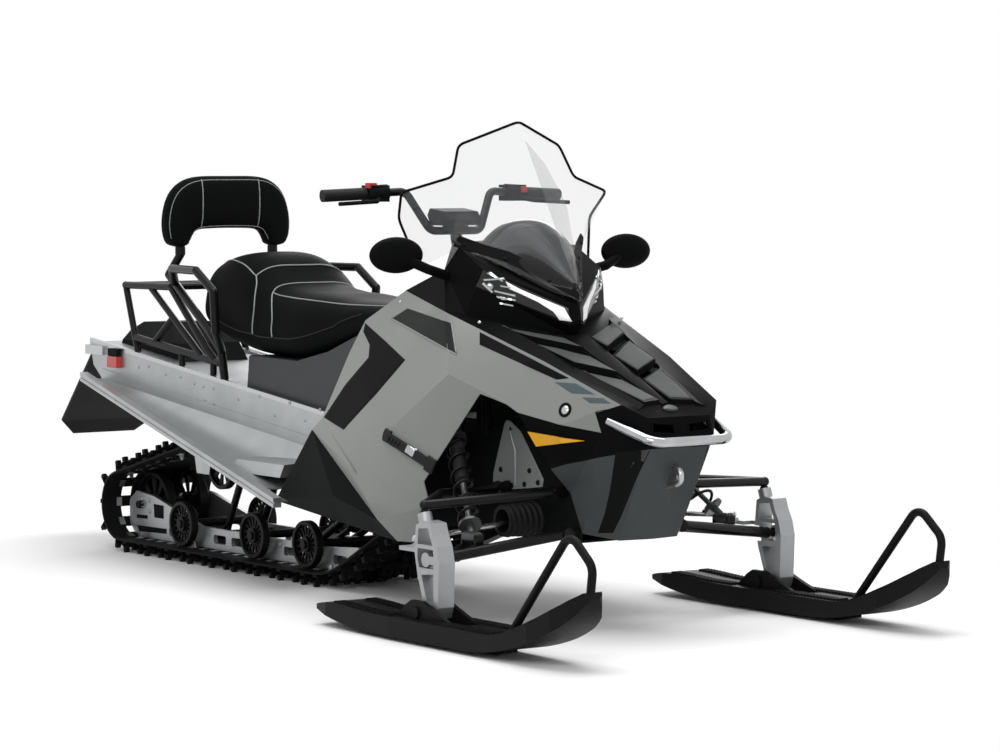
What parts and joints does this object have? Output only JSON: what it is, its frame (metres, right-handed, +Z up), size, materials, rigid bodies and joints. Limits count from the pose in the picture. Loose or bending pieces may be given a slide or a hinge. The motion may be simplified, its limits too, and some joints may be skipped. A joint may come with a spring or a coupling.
{
  "type": "snowmobile",
  "caption": "Two-seat touring snowmobile with sprung steerable skis, a track under a sheet tunnel, faceted hood, tall windshield, stepped seat, backrest and tube cargo rack.",
  "frame": {"origin": "on the ground under the middle of the machine's overall length, on its middle plane", "axes": "+X forward, +Y to the rider's left, +Z up"},
  "size_m": [3.3, 1.244, 1.289],
  "materials": {
    "silver_sheet": "satin",
    "bright_rail": "satin",
    "track_rubber": "moulded",
    "wheel_plastic": "moulded",
    "black_steel": "semi-gloss",
    "grey_plate": "satin",
    "engine_grey": "plain block",
    "damper_grey": "satin",
    "spring_black": "gloss",
    "cast_grey": "cast, satin",
    "rod_silver": "zinc",
    "ski_plastic": "moulded",
    "black_rubber": "matt",
    "grip_rubber": "ribbed",
    "control_plastic": "moulded",
    "dark_plastic": "grained",
    "panel_grey": "gloss",
    "body_black": "gloss",
    "lamp_glass": "faceted lens",
    "screen_clear": "clear",
    "chrome_tube": "polished",
    "amber_lens": "prismatic",
    "seat_black": "grained with light piping",
    "skirt_grey": "moulded",
    "red_lens": "prismatic"
  },
  "bodies": {
    "chassis": {"tunnel": "silver_sheet", "running_board_right": "silver_sheet", "running_board_left": "silver_sheet", "edge_rails": "bright_rail", "track": "track_rubber", "slide_rails": "bright_rail", "skid_wheels": "wheel_plastic", "skid_arms": "black_steel", "drive_axle": "wheel_plastic", "bulkhead": "grey_plate", "engine": "engine_grey", "front_arms": "black_steel", "shocks": "damper_grey", "shock_springs": "spring_black", "boots": "black_rubber", "console": "dark_plastic", "side_panel_right": "panel_grey", "side_panel_left": "panel_grey", "footwells": "dark_plastic", "hood": "body_black", "cowl": "body_black", "headlights": "lamp_glass", "nose": "dark_plastic", "windshield": "screen_clear", "mirrors": "body_black", "front_bumper": "chrome_tube", "reflectors": "amber_lens", "seat": "seat_black", "fuel_tank": "skirt_grey", "cargo_rack": "black_steel", "backrest_frame": "black_steel", "backrest_pad": "seat_black", "tail_light": "dark_plastic", "side_lights": "red_lens", "rear_bumper": "bright_rail", "snow_flap": "black_rubber"},
    "handlebar": {"handlebar": "black_steel", "grips": "grip_rubber", "bar_controls": "control_plastic"},
    "spindle_right": {"spindle_right": "cast_grey"},
    "tie_rod_right": {"tie_rod_right": "rod_silver"},
    "ski_right": {"ski_right": "ski_plastic"},
    "spindle_left": {"spindle_left": "cast_grey"},
    "tie_rod_left": {"tie_rod_left": "rod_silver"},
    "ski_left": {"ski_left": "ski_plastic"}
  },
  "joints": [
    {"name": "steering", "type": "hinge", "parent": "chassis", "child": "handlebar", "pos_m": [0.577, 0, 0.6], "axis": [-0.5993, 0, 0.8005], "range_deg": [-34, 34]},
    {"name": "kingpin_right", "type": "hinge", "parent": "chassis", "child": "spindle_right", "pos_m": [0.99, -0.547, 0.205], "axis": [-0.3315, 0, 0.9435], "range_deg": [-27.5, 27.5]},
    {"name": "rod_end_right", "type": "hinge", "parent": "spindle_right", "child": "tie_rod_right", "pos_m": [0.862, -0.511, 0.242], "axis": [-0.3315, 0, 0.9435], "range_deg": [-30.5, 30.5]},
    {"name": "ski_pitch_right", "type": "hinge", "parent": "spindle_right", "child": "ski_right", "pos_m": [0.975, -0.547, 0.074], "axis": [0, 1, 0], "range_deg": [-15, 15]},
    {"name": "kingpin_left", "type": "hinge", "parent": "chassis", "child": "spindle_left", "pos_m": [0.99, 0.547, 0.205], "axis": [-0.3315, 0, 0.9435], "range_deg": [-27.5, 27.5]},
    {"name": "rod_end_left", "type": "hinge", "parent": "spindle_left", "child": "tie_rod_left", "pos_m": [0.862, 0.511, 0.242], "axis": [-0.3315, 0, 0.9435], "range_deg": [-30.5, 30.5]},
    {"name": "ski_pitch_left", "type": "hinge", "parent": "spindle_left", "child": "ski_left", "pos_m": [0.975, 0.547, 0.074], "axis": [0, 1, 0], "range_deg": [-15, 15]}
  ],
  "couplings": [
    {"joint": "kingpin_right", "follows": "steering", "ratio": 0.8},
    {"joint": "rod_end_right", "follows": "steering", "ratio": -0.88},
    {"joint": "kingpin_left", "follows": "steering", "ratio": 0.8},
    {"joint": "rod_end_left", "follows": "steering", "ratio": -0.88}
  ]
}
